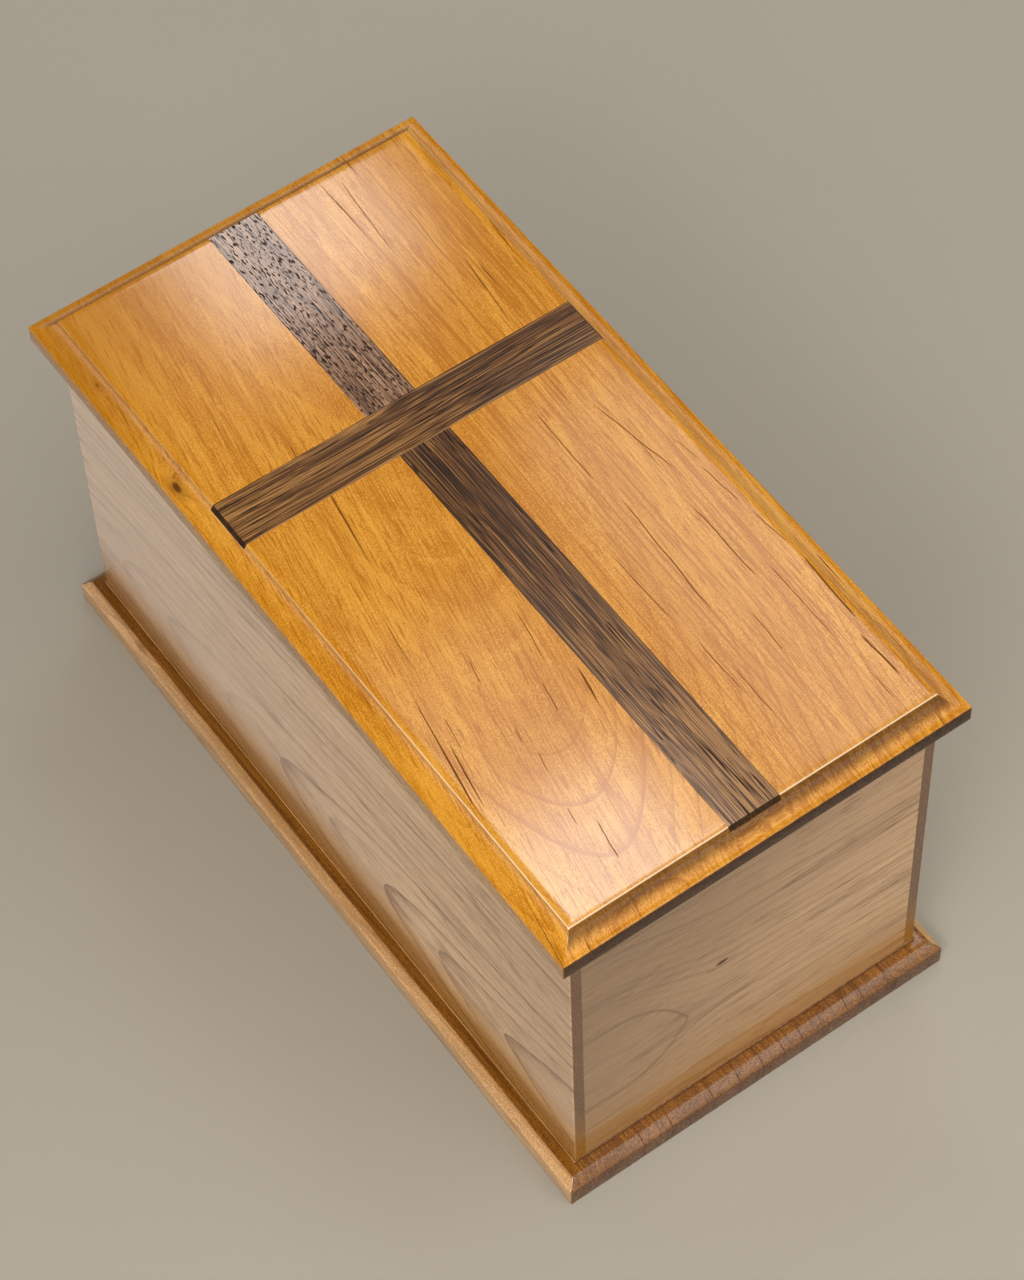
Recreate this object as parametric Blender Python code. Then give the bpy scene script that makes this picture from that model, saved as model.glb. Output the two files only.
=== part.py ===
"""Wooden cremation urn: a low case of solid alder boards on a chamfered base board, under a
lift-off lid with a coved edge and a walnut cross let into its top.

Metres, +Z up. The origin is in the middle of the underside, +Y runs along the length towards the
head of the cross, and +X across the width.
"""
import math

import bmesh
import bpy

# Lid board
LID_LENGTH = 0.2970
LID_WIDTH = 0.1524
LID_EDGE = 0.0063
COVE_DROP = 0.0049
COVE_INSET = 0.0077
STEP_DEPTH = 0.0030
STEP_CLEARANCE = 0.0010

# Cross
UPRIGHT_WIDTH = 0.01905
UPRIGHT_OFFSET = -0.0010
BAR_WIDTH = 0.01905
BAR_OFFSET = 0.0392
INLAY_DEPTH = 0.0017

# Case boards
LID_OVERHANG = 0.0069
CASE_HEIGHT = 0.1344
WALL = 0.0112
TONGUE = 0.0042

# Base board
BASE_THICKNESS = 0.0112
BASE_CHAMFER = 0.0032
BASE_OVERHANG = 0.0069
SEAT_HEIGHT = 0.0012
SEAT_REVEAL = 0.0004

# Gap between pieces that touch or fit, and how far a cutter runs past what it cuts
FIT_GAP = 0.0003
CUT_MARGIN = 0.0020
COVE_SEGMENTS = 96

# Sizes that follow from those above
CASE_LENGTH = LID_LENGTH - 2 * LID_OVERHANG
CASE_WIDTH = LID_WIDTH - 2 * LID_OVERHANG
BASE_LENGTH = CASE_LENGTH + 2 * BASE_OVERHANG
BASE_WIDTH = CASE_WIDTH + 2 * BASE_OVERHANG
LID_THICKNESS = LID_EDGE + COVE_DROP
CASE_BOTTOM = BASE_THICKNESS + SEAT_HEIGHT + FIT_GAP
LID_BOTTOM = CASE_BOTTOM + CASE_HEIGHT + FIT_GAP

ALDER_LID = (0.60, 0.30, 0.09)
ALDER_CASE = (0.55, 0.34, 0.18)
ALDER_BASE = (0.42, 0.22, 0.08)
WALNUT = (0.12, 0.06, 0.03)


def clear_scene():
    """Empties the scene of its objects."""
    for item in list(bpy.data.objects):
        bpy.data.objects.remove(item, do_unlink=True)


def new_collection(name):
    """A collection linked to the scene."""
    collection = bpy.data.collections.new(name)
    bpy.context.scene.collection.children.link(collection)
    return collection


def wood(name, colour, roughness):
    """A plain lacquered wood."""
    material = bpy.data.materials.new(name)
    material.use_nodes = True
    shader = material.node_tree.nodes["Principled BSDF"]
    shader.inputs["Base Color"].default_value = (*colour, 1.0)
    shader.inputs["Roughness"].default_value = roughness
    shader.inputs["Metallic"].default_value = 0.0
    return material


def block_mesh(name, size):
    """A box of the given size about its own middle, as a bmesh that is still open to changes."""
    bm = bmesh.new()
    bmesh.ops.create_cube(bm, size=1.0)
    bmesh.ops.scale(bm, vec=size, verts=bm.verts)
    bm.normal_update()
    mesh = bpy.data.meshes.new(name)
    return bm, mesh


def face_towards(bm, direction):
    """The face that looks along +Z (1) or -Z (-1)."""
    return max(bm.faces, key=lambda face: face.normal.z * direction)


def raise_panel(bm, direction, rim, height):
    """Raises the middle of the top (1) or bottom (-1) face and leaves a level rim round it."""
    face = face_towards(bm, direction)
    bmesh.ops.inset_individual(bm, faces=[face], thickness=rim, use_even_offset=True)
    grown = bmesh.ops.extrude_face_region(bm, geom=[face])
    new_verts = [part for part in grown["geom"] if isinstance(part, bmesh.types.BMVert)]
    bmesh.ops.translate(bm, verts=new_verts, vec=(0.0, 0.0, direction * height))
    bmesh.ops.delete(bm, geom=[face], context="FACES_ONLY")


def place(mesh, collection, parent, location, material=None):
    """An object for the mesh, named like it, at a place under its parent."""
    item = bpy.data.objects.new(mesh.name, mesh)
    collection.objects.link(item)
    item.parent = parent
    item.location = location
    if material:
        mesh.materials.append(material)
    return item


def block(name, size, collection, parent, location, material=None):
    """A plain box as an object."""
    bm, mesh = block_mesh(name, size)
    bm.to_mesh(mesh)
    bm.free()
    return place(mesh, collection, parent, location, material)


def as_cutter(item):
    """Marks an object as a tool that only shapes others."""
    item.hide_render = True
    item.display_type = "WIRE"
    return item


def cut(item, cutters):
    """Takes each cutter out of the object."""
    for cutter in cutters:
        modifier = item.modifiers.new(cutter.name, "BOOLEAN")
        modifier.operation = "DIFFERENCE"
        modifier.solver = "EXACT"
        modifier.object = cutter


def assembly(name, collection, height):
    """An empty that carries one group of pieces."""
    empty = bpy.data.objects.new(name, None)
    collection.objects.link(empty)
    empty.location = (0.0, 0.0, height)
    return empty


def cove_cutters(collection, parent):
    """Four round bars along the lid's edges; each leaves a cove that runs level at the lid's square
    edge and rises to a sharp arris at the field. They cross at the corners and leave mitre lines."""
    radius = (COVE_INSET ** 2 + COVE_DROP ** 2) / (2 * COVE_DROP)
    height = LID_EDGE + radius
    edges = {
        "cove_left": (-LID_WIDTH / 2, 0.0, LID_LENGTH, 0.0),
        "cove_right": (LID_WIDTH / 2, 0.0, LID_LENGTH, 0.0),
        "cove_foot": (0.0, -LID_LENGTH / 2, LID_WIDTH, math.pi / 2),
        "cove_head": (0.0, LID_LENGTH / 2, LID_WIDTH, math.pi / 2),
    }
    cutters = {}
    for name, (x, y, length, turn) in edges.items():
        bm = bmesh.new()
        bmesh.ops.create_cone(bm, cap_ends=True, segments=COVE_SEGMENTS, radius1=radius,
                              radius2=radius, depth=length + 2 * (radius + CUT_MARGIN))
        mesh = bpy.data.meshes.new(name)
        bm.to_mesh(mesh)
        bm.free()
        mesh.shade_smooth()
        mesh.set_sharp_from_angle(angle=math.radians(30))
        cutter = place(mesh, collection, parent, (x, y, height))
        cutter.rotation_euler = (math.pi / 2, 0.0, turn)
        cutters[name] = as_cutter(cutter)
    return cutters


def groove_cutters(collection, parent):
    """Two crossing bars that leave the grooves for the cross, open at both ends."""
    depth = INLAY_DEPTH + FIT_GAP
    height = LID_THICKNESS - depth + (depth + CUT_MARGIN) / 2
    upright = block("groove_upright",
                    (UPRIGHT_WIDTH + 2 * FIT_GAP, LID_LENGTH + 2 * CUT_MARGIN, depth + CUT_MARGIN),
                    collection, parent, (UPRIGHT_OFFSET, 0.0, height))
    bar = block("groove_bar",
                (LID_WIDTH + 2 * CUT_MARGIN, BAR_WIDTH + 2 * FIT_GAP, depth + CUT_MARGIN),
                collection, parent, (0.0, BAR_OFFSET, height))
    return [as_cutter(upright), as_cutter(bar)]


def build_lid(parts, cutting, parent, alder, walnut):
    """The lid board with its cove, its grooves and the step underneath that drops inside the case,
    and the three strips of the cross, whose ends the cove cuts too."""
    coves = cove_cutters(cutting, parent)

    bm, mesh = block_mesh("lid", (LID_WIDTH, LID_LENGTH, LID_THICKNESS))
    raise_panel(bm, -1, LID_OVERHANG + WALL + STEP_CLEARANCE, STEP_DEPTH)
    bm.to_mesh(mesh)
    bm.free()
    lid = place(mesh, parts, parent, (0.0, 0.0, LID_THICKNESS / 2), alder)
    cut(lid, [*coves.values(), *groove_cutters(cutting, parent)])

    strip_height = LID_THICKNESS - INLAY_DEPTH / 2
    bar_low = BAR_OFFSET - BAR_WIDTH / 2 - FIT_GAP
    bar_high = BAR_OFFSET + BAR_WIDTH / 2 + FIT_GAP
    head_length = LID_LENGTH / 2 - bar_high
    foot_length = LID_LENGTH / 2 + bar_low
    head = block("cross_upright_head", (UPRIGHT_WIDTH, head_length, INLAY_DEPTH), parts, parent,
                 (UPRIGHT_OFFSET, bar_high + head_length / 2, strip_height), walnut)
    foot = block("cross_upright_foot", (UPRIGHT_WIDTH, foot_length, INLAY_DEPTH), parts, parent,
                 (UPRIGHT_OFFSET, bar_low - foot_length / 2, strip_height), walnut)
    bar = block("cross_bar", (LID_WIDTH, BAR_WIDTH, INLAY_DEPTH), parts, parent,
                (0.0, BAR_OFFSET, strip_height), walnut)
    cut(head, [coves["cove_head"]])
    cut(foot, [coves["cove_foot"]])
    cut(bar, [coves["cove_left"], coves["cove_right"]])


def build_side(name, hand, parts, cutting, parent, alder):
    """A long board. A rabbet inside each end takes the short board and leaves a thin tongue, whose
    end grain shows at the edge of the short face."""
    side = block(name, (WALL, CASE_LENGTH, CASE_HEIGHT), parts, parent,
                 (hand * (CASE_WIDTH - WALL) / 2, 0.0, CASE_HEIGHT / 2), alder)
    rabbet_width = WALL - TONGUE + CUT_MARGIN
    rabbet_length = WALL + FIT_GAP + CUT_MARGIN
    rabbets = []
    for end_name, end in (("foot", -1), ("head", 1)):
        rabbet = block(f"rabbet_{name}_{end_name}",
                       (rabbet_width, rabbet_length, CASE_HEIGHT + 2 * CUT_MARGIN), cutting, parent,
                       (hand * (CASE_WIDTH / 2 - TONGUE - rabbet_width / 2),
                        end * (CASE_LENGTH / 2 + CUT_MARGIN - rabbet_length / 2),
                        CASE_HEIGHT / 2))
        rabbets.append(as_cutter(rabbet))
    cut(side, rabbets)


def build_case(parts, cutting, parent, alder):
    """Four boards round an empty space."""
    build_side("side_left", -1, parts, cutting, parent, alder)
    build_side("side_right", 1, parts, cutting, parent, alder)
    end_width = CASE_WIDTH - 2 * (TONGUE + FIT_GAP)
    for name, end in (("end_foot", -1), ("end_head", 1)):
        block(name, (end_width, WALL, CASE_HEIGHT), parts, parent,
              (0.0, end * (CASE_LENGTH - WALL) / 2, CASE_HEIGHT / 2), alder)


def build_base(parts, parent, alder):
    """The base board: its top edges are chamfered, and a low seat lifts the case off its flat rim."""
    bm, mesh = block_mesh("base", (BASE_WIDTH, BASE_LENGTH, BASE_THICKNESS))
    top = face_towards(bm, 1)
    bmesh.ops.bevel(bm, geom=list(top.edges), offset=BASE_CHAMFER, offset_type="OFFSET", segments=1,
                    profile=0.5, affect="EDGES")
    bm.normal_update()
    raise_panel(bm, 1, BASE_OVERHANG + SEAT_REVEAL - BASE_CHAMFER, SEAT_HEIGHT)
    bm.to_mesh(mesh)
    bm.free()
    place(mesh, parts, parent, (0.0, 0.0, BASE_THICKNESS / 2), alder)


def build_urn():
    """The whole urn, from the base up."""
    clear_scene()
    parts = new_collection("cremation_urn")
    cutting = new_collection("cutters")
    base_frame = assembly("base_frame", parts, 0.0)
    case_frame = assembly("case_frame", parts, CASE_BOTTOM)
    lid_frame = assembly("lid_frame", parts, LID_BOTTOM)
    build_base(parts, base_frame, wood("alder_base", ALDER_BASE, 0.3))
    build_case(parts, cutting, case_frame, wood("alder_case", ALDER_CASE, 0.3))
    build_lid(parts, cutting, lid_frame, wood("alder_lid", ALDER_LID, 0.25),
              wood("walnut_inlay", WALNUT, 0.3))


build_urn()
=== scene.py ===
import math

import bmesh
import bpy
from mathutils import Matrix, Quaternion, Vector


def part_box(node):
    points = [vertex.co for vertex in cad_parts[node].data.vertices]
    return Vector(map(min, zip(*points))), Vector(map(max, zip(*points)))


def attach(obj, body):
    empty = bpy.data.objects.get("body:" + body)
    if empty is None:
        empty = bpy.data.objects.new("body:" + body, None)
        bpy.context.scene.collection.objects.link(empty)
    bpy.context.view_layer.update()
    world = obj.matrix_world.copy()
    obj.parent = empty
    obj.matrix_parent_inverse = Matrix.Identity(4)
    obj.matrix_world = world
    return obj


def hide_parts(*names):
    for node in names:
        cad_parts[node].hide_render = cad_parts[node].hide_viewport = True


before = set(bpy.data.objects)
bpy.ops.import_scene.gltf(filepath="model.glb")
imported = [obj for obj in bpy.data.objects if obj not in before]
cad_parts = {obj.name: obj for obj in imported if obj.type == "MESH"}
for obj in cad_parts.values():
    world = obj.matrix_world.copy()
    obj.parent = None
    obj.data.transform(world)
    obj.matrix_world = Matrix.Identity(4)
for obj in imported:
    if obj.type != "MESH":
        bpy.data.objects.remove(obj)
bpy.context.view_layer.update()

# The place the urn is photographed in: a plain pale floor under soft studio light.
# The camera looks down over the near corner, with the foot of the cross nearest to it.
LENS_MM = 109.26
CAMERA_AZIMUTH = math.radians(-33.157)
CAMERA_ELEVATION = math.radians(55.641)
CAMERA_ROLL = math.radians(-2.812)
CAMERA_TARGET = Vector((-0.02296, -0.04862, 0.1586))
CAMERA_DISTANCE = 1.18297
FLOOR_HALF_WIDTH = 6.0
FLOOR_COLOUR = (166, 160, 147)
FLOOR_MOTTLE_COLOUR = (163, 157, 144)
FLOOR_MOTTLES_PER_METRE = 9.0
FLOOR_ROUGHNESS = 0.85
TENT_TOP_COLOUR = (255, 251, 245)
TENT_LEFT_COLOUR = (228, 224, 220)
TENT_RIGHT_COLOUR = (138, 134, 128)
TENT_STRENGTH = 1.32
TENT_SIDES_CHANGE = (-0.7, 0.3)
TENT_TOP_CHANGE = (0.0, 0.6)
# Dark gaps in the tent: which way each lies, where it begins and is full, as cosines, and how dark it is.
GAP_COLOUR = (52, 50, 47)
GAPS = (((0.22, 0.50, 0.83), 0.74, 0.92, 1.0), ((-0.58, 0.46, 0.67), 0.84, 0.94, 0.9))
# Soft boxes: name, place, what it points at, size, watts, colour and how wide it shines in degrees.
LAMPS = (
    ("lamp_front", (0.46, -1.24, 0.80), (0, 0, 0.10), (0.7, 0.5), 1.8, (246, 250, 255), 180),
    ("lamp_floor", (-1.00, -0.90, 1.10), (-0.32, -0.42, 0), (0.8, 0.8), 1.6, (255, 250, 248), 50))
# Lamps straight above the places that the lacquer mirrors: name, place, size and watts.
SHEEN_HEIGHT = 1.60
SHEEN_COLOUR = (247, 250, 252)
SHEENS = (
    ("lamp_cove", (0.45, -0.14), (0.5, 0.2), 0.25),
    ("lamp_head_sheen", (0.60, 1.29), (0.19, 0.33), 1.4),
    ("lamp_foot_sheen", (0.44, 0.50), (0.17, 0.28), 1.35),
    ("lamp_left_sheen", (0.44, 0.58), (0.20, 0.46), 0.45),
    ("lamp_right_sheen", (0.75, 0.66), (0.26, 0.58), 1.15),
    ("lamp_near_sheen", (0.73, 0.57), (0.22, 0.24), 0.35))


def add_node(tree, kind, sockets=None, **settings):
    """Adds a node, sets its options and fills its sockets with values or with links."""
    made = tree.nodes.new(kind)
    for option, value in settings.items():
        setattr(made, option, value)
    for key, value in (sockets or {}).items():
        if isinstance(value, bpy.types.NodeSocket):
            tree.links.new(value, made.inputs[key])
        else:
            made.inputs[key].default_value = value
    return made


def maths(tree, operation, *terms):
    """The result of one sum on numbers."""
    return add_node(tree, "ShaderNodeMath", dict(enumerate(terms)), operation=operation).outputs[0]


def vector_maths(tree, operation, *terms):
    """The result of one sum on positions or directions, which is a number for a length or a dot product."""
    made = add_node(tree, "ShaderNodeVectorMath", dict(enumerate(terms)), operation=operation)
    return made.outputs["Value" if operation in ("DOT_PRODUCT", "LENGTH") else "Vector"]


def parts_of(tree, vector):
    """The three numbers of a position or a direction."""
    return add_node(tree, "ShaderNodeSeparateXYZ", {0: vector}).outputs


def paint(red, green, blue):
    """A colour as a screen shows it, from 0 to 255, turned into the light that Blender counts in."""
    screen = (part / 255 for part in (red, green, blue))
    return (*(s / 12.92 if s < 0.04045 else ((s + 0.055) / 1.055) ** 2.4 for s in screen), 1.0)


def mix_paint(tree, factor, first, second):
    """A blend of two colours."""
    return add_node(tree, "ShaderNodeMix", {0: factor, 6: first, 7: second}, data_type="RGBA").outputs[2]


def noise(tree, vector, scale=1.0, detail=2.0, roughness=0.5):
    """A soft random pattern between 0 and 1."""
    sockets = {"Vector": vector, "Scale": scale, "Detail": detail, "Roughness": roughness}
    return add_node(tree, "ShaderNodeTexNoise", sockets).outputs["Fac"]


def ramp(tree, value, low, high, to_low=0.0, to_high=1.0):
    """A smooth step that goes from to_low at low to to_high at high."""
    sockets = {"Value": value, "From Min": low, "From Max": high, "To Min": to_low, "To Max": to_high}
    return add_node(tree, "ShaderNodeMapRange", sockets, interpolation_type="SMOOTHSTEP").outputs["Result"]


def new_material(name):
    """A material with its tree emptied down to a Principled shader, and the tree's object coordinates."""
    made = bpy.data.materials.new(name)
    made.use_nodes = True
    tree = made.node_tree
    return made, tree, tree.nodes["Principled BSDF"], add_node(tree, "ShaderNodeTexCoord").outputs


def floor_paper():
    """Matt pale paper with a faint mottle."""
    made, tree, shader, place = new_material("floor_paper")
    mottle = noise(tree, place["Object"], FLOOR_MOTTLES_PER_METRE, 4.0)
    colour = mix_paint(tree, mottle, paint(*FLOOR_COLOUR), paint(*FLOOR_MOTTLE_COLOUR))
    tree.links.new(colour, shader.inputs["Base Color"])
    shader.inputs["Roughness"].default_value = FLOOR_ROUGHNESS
    return made


def lay_floor():
    """A wide flat sheet at the height that the urn stands on."""
    bpy.ops.mesh.primitive_plane_add(size=2 * FLOOR_HALF_WIDTH)
    floor = bpy.context.object
    floor.name = "floor"
    floor.data.materials.append(floor_paper())


def hang_lamp(name, place, aim, size, watts, colour, spread):
    """A square soft box that shines from one place towards another and isn't seen itself."""
    light = bpy.data.lights.new(name, "AREA")
    light.shape = "RECTANGLE"
    light.size, light.size_y = size
    light.energy = watts
    light.spread = math.radians(spread)
    light.color = paint(*colour)[:3]
    lamp = bpy.data.objects.new(name, light)
    lamp.location = place
    lamp.rotation_mode = "QUATERNION"
    lamp.rotation_quaternion = (Vector(aim) - Vector(place)).to_track_quat("-Z", "Y")
    lamp.visible_camera = False
    bpy.context.scene.collection.objects.link(lamp)


def set_camera():
    """The photograph's camera: long lens, high over the near corner, turned a little."""
    level = math.cos(CAMERA_ELEVATION)
    side, ahead = math.sin(CAMERA_AZIMUTH) * level, -math.cos(CAMERA_AZIMUTH) * level
    back = Vector((side, ahead, math.sin(CAMERA_ELEVATION)))
    lens = bpy.data.cameras.new("camera")
    lens.lens = LENS_MM
    camera = bpy.data.objects.new("camera", lens)
    camera.location = CAMERA_TARGET + CAMERA_DISTANCE * back
    camera.rotation_mode = "QUATERNION"
    camera.rotation_quaternion = back.to_track_quat("Z", "Y") @ Quaternion((0, 0, 1), CAMERA_ROLL)
    bpy.context.scene.collection.objects.link(camera)
    bpy.context.scene.camera = camera


def put_up_tent():
    """A white tent, darker to the right, with dark gaps where the lid would mirror it too brightly."""
    room = bpy.data.worlds.new("room")
    room.use_nodes = True
    tree = room.node_tree
    view = add_node(tree, "ShaderNodeTexCoord").outputs["Generated"]
    gap = 0.0
    for towards, begins, full, dark in GAPS:
        nearness = vector_maths(tree, "DOT_PRODUCT", view, Vector(towards).normalized())
        gap = maths(tree, "MAXIMUM", gap, ramp(tree, nearness, begins, full, 0.0, dark))
    way = parts_of(tree, view)
    walls = mix_paint(tree, ramp(tree, way[0], *TENT_SIDES_CHANGE), paint(*TENT_LEFT_COLOUR),
                      paint(*TENT_RIGHT_COLOUR))
    tent = mix_paint(tree, ramp(tree, way[2], *TENT_TOP_CHANGE), walls, paint(*TENT_TOP_COLOUR))
    background = tree.nodes["Background"].inputs
    tree.links.new(mix_paint(tree, gap, tent, paint(*GAP_COLOUR)), background["Color"])
    background["Strength"].default_value = TENT_STRENGTH
    bpy.context.scene.world = room


bpy.context.scene.view_settings.view_transform = "Standard"
set_camera()
lay_floor()
put_up_tent()
for lamp in LAMPS:
    hang_lamp(*lamp)
for name, (x, y), size, watts in SHEENS:
    hang_lamp(name, (x, y, SHEEN_HEIGHT), (x, y, 0), size, watts, SHEEN_COLOUR, 180)

# The base board: solid alder with a 45 degree chamfer round its top edge and a low seat that the case
# is glued on. Planed, sanded and lacquered, with its end grain at the two short edges.
base_low, base_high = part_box("base")
case_low, case_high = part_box("side_left")[0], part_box("side_right")[1]
BASE_CHAMFER = 0.0032
SEAT_HEIGHT = 0.0012
SEAT_REVEAL = 0.0004
SEAT_ARRIS = 0.0002
BASE_ARRIS = 0.00030
ARRIS_STEPS = 3
CORNER_STEPS = 3
CORNER_EASE = 0.00045
FLAT_TO_SMOOTH = math.radians(12)

# How many times a metre each mark in alder repeats across the board, along it and through it.
GROWTH_WANDERS = (11, 5, 11)
PATCHES = (44, 5, 44)
BANDS = (260, 7, 60)
FIBRES = (1500, 30, 1500)
SPECKS = (2600, 1700, 2600)
FINE_LINES = (1100, 8, 150)
VESSELS = (1500, 95, 700)
PITCH_STREAKS = (900, 17, 60)
PITCH_PLACES = (26, 7, 26)
STREAK_WAVERS = (70, 70, 0)
STREAK_WAVER = 0.0013
# The same for the slow change of colour from ring to ring: to a ring, a metre along and a metre round.
RING_TONES = (0.9, 3.0, 9.0)
# Where the marks begin and are full on their random pattern, and how rare pitch is.
LINE_EDGES = (0.54, 0.70)
VESSEL_EDGES = (0.56, 0.74)
PITCH_RARITY = 0.86
PITCH_GATHERING = 0.36
PITCH_EDGE = 0.045
PITCH_STAIN = 0.85
FAINTEST_YEAR = 0.35
LEAN_CHANGE = 0.012
KNOT_LENGTH = 0.45
KNOT_SWELL_FALL = -0.16
KNOT_CORE_EDGES = (1.1, 0.3)
TONGUE_FADE = -20.0
TONGUE_RIM_EDGES = (0.0014, 0.0002)
STREAK_TAPER = 0.16
STREAK_EDGES = (1.0, 0.35)
# How much of a face's direction points along the board where it starts to count as a slope, and how much
# more makes it fully one.
SLOPE_FROM = 0.22
SLOPE_RISE = 0.45
# Which way the painted arris highlight faces, and how far below the top it reaches.
HIGHLIGHT_TOWARDS = (-0.6, -0.9, 0)
HIGHLIGHT_DEPTH = 0.0006
LACQUER_SPECULAR = 0.12
LACQUER_IOR = 1.58
LACQUER_ROUGHNESS = 0.11
BLACK = (0.0, 0.0, 0.0, 1.0)

BASE_FACE_PALE = (148, 94, 26)
BASE_FACE_DEEP = (100, 58, 10)
# The edge colours are the wood's colour lightened by a painted reflection, on the base's long edges and
# chamfers.
BASE_SHEEN_EDGE_PALE = (210, 164, 108)
BASE_SHEEN_EDGE_DEEP = (166, 122, 70)
BASE_END_PALE = (118, 82, 56)
BASE_END_DEEP = (78, 50, 32)
PITCH_COLOUR = (74, 34, 10)
BASE_KNOT = (-0.0740, 0.1114, 0.0104)
CRACK_HALF_WIDTH = 0.00022
CRACK_START = -0.1500
CRACK_FINISH = -0.1400
CRACK_LEAN = 0.0006
END_CRACKS = (-0.0467, -0.0353, -0.0185, -0.0077, 0.0018, 0.0105, 0.0181, 0.0369, 0.0435, 0.0535)


def eased(profile, steps):
    """Rounds each corner of a profile of (in, up, ease) points, as sandpaper does, over its ease."""
    points = [Vector(profile[0][:2])]
    for before, corner, after in zip(profile, profile[1:], profile[2:]):
        here, ease = Vector(corner[:2]), corner[2]
        if ease == 0:
            points.append(here)
            continue
        start = here + ease * (Vector(before[:2]) - here).normalized()
        end = here + ease * (Vector(after[:2]) - here).normalized()
        for step in range(steps + 1):
            t = step / steps
            points.append((1 - t) ** 2 * start + 2 * t * (1 - t) * here + t ** 2 * end)
    return points + [Vector(profile[-1][:2])]


def round_box(low, high, height, ease, steps):
    """A level rectangle's corner points, with each corner rounded, anticlockwise from above."""
    points = []
    for quarter, (x, y) in enumerate(((high.x, high.y), (low.x, high.y), (low.x, low.y), (high.x, low.y))):
        inwards = Vector(((low.x + high.x) / 2 - x, (low.y + high.y) / 2 - y))
        centre = Vector((x + math.copysign(ease, inwards.x), y + math.copysign(ease, inwards.y)))
        for step in range(steps + 1):
            turn = math.radians(90) * (quarter + step / steps)
            points.append((centre.x + ease * math.cos(turn), centre.y + ease * math.sin(turn), height))
    return points


def as_object(name, body):
    """Turns worked geometry into an object with its faces outwards and its soft and hard edges set."""
    bmesh.ops.recalc_face_normals(body, faces=body.faces)
    mesh = bpy.data.meshes.new(name)
    body.to_mesh(mesh)
    body.free()
    mesh.shade_smooth()
    mesh.set_sharp_from_angle(angle=FLAT_TO_SMOOTH)
    made = bpy.data.objects.new(name, mesh)
    bpy.context.scene.collection.objects.link(made)
    return made


def stacked(name, outlines):
    """A closed solid from level outlines of equally many points, lowest first."""
    body = bmesh.new()
    rings = [[body.verts.new(point) for point in outline] for outline in outlines]
    for lower, upper in zip(rings, rings[1:]):
        for i in range(len(lower)):
            j = (i + 1) % len(lower)
            body.faces.new((lower[i], lower[j], upper[j], upper[i]))
    body.faces.new(reversed(rings[0]))
    body.faces.new(rings[-1])
    return as_object(name, body)


def moulded(name, low, high, profile):
    """A board whose four edges all have the same moulding, given as (in, up, ease) points."""
    outlines = []
    for inwards, height in eased(profile, ARRIS_STEPS):
        inset = Vector((inwards, inwards, 0))
        outlines.append(round_box(low + inset, high - inset, height, CORNER_EASE, CORNER_STEPS))
    return stacked(name, outlines)


def new_group(name, inputs, outputs):
    """An empty shader group with named sockets, its inputs' node and its outputs' node."""
    kinds = {float: "NodeSocketFloat", Vector: "NodeSocketVector", tuple: "NodeSocketColor"}
    group = bpy.data.node_groups.new(name, "ShaderNodeTree")
    for label, start in inputs.items():
        socket = group.interface.new_socket(label, in_out="INPUT", socket_type=kinds[type(start)])
        socket.default_value = start
    for label, kind in outputs.items():
        group.interface.new_socket(label, in_out="OUTPUT", socket_type=kinds[kind])
    return group, group.nodes.new("NodeGroupInput").outputs, group.nodes.new("NodeGroupOutput").inputs


def put_out(group, result, **values):
    """Links a group's results to its outputs."""
    for label, value in values.items():
        group.links.new(value, result[label])


def vector_of(tree, x, y, z):
    """A position made of three numbers."""
    return add_node(tree, "ShaderNodeCombineXYZ", {"X": x, "Y": y, "Z": z}).outputs[0]


def marks(tree, position, repeats, detail, roughness=0.5):
    """A soft random pattern that repeats so many times a metre on each axis."""
    return noise(tree, vector_maths(tree, "MULTIPLY", position, repeats), 1.0, detail, roughness)


def swayed(tree, tone, mark, share):
    """A tone that a mark between 0 and 1 moves up or down by a share."""
    return maths(tree, "MULTIPLY_ADD", maths(tree, "SUBTRACT", mark, 0.5), share, tone)


def growth_group():
    """Where a point lies in the tree that the board was sawn from: how far out, how far round and along."""
    group, given, result = new_group(
        "Tree growth",
        {"Position": Vector(), "Pith": Vector(), "Lean Left": 0.0, "Lean Right": 0.0, "Taper": 0.0,
         "Wander": 0.0, "Swell": 0.0, "Push": 0.0, "Seed": 0.0},
        {"Out": float, "Around": float, "Grown": Vector})
    slow = vector_maths(group, "MULTIPLY", given["Position"], GROWTH_WANDERS)
    slow = vector_maths(group, "ADD", slow, vector_of(group, given["Seed"], given["Seed"], given["Seed"]))
    wander = add_node(group, "ShaderNodeTexNoise", {"Vector": slow, "Scale": 1.0, "Detail": 2.0})
    wander = vector_maths(group, "SUBTRACT", wander.outputs["Color"], (0.5, 0.5, 0.5))
    wander = add_node(group, "ShaderNodeVectorMath", {0: wander, "Scale": given["Wander"]}, operation="SCALE")
    part = parts_of(group, vector_maths(group, "ADD", given["Position"], wander.outputs[0]))
    pith = parts_of(group, given["Pith"])
    lean = ramp(group, part[0], -LEAN_CHANGE, LEAN_CHANGE, given["Lean Left"], given["Lean Right"])
    straight = maths(group, "SUBTRACT", part[0], maths(group, "MULTIPLY", part[1], lean))
    straight = maths(group, "ADD", straight, given["Swell"])
    across = maths(group, "SUBTRACT", straight, pith[0])
    deep = maths(group, "SUBTRACT", part[2], pith[2])
    squares = maths(group, "MULTIPLY_ADD", across, across, maths(group, "MULTIPLY", deep, deep))
    radius = maths(group, "SQRT", squares)
    tapered = maths(group, "SUBTRACT", radius, maths(group, "MULTIPLY", part[1], given["Taper"]))
    moved = maths(group, "ADD", given["Swell"], given["Push"])
    put_out(group, result,
            Out=maths(group, "ADD", tapered, moved),
            Around=maths(group, "MULTIPLY", maths(group, "ARCTAN2", across, deep), radius),
            Grown=vector_of(group, straight, part[1], part[2]))
    return group


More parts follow.
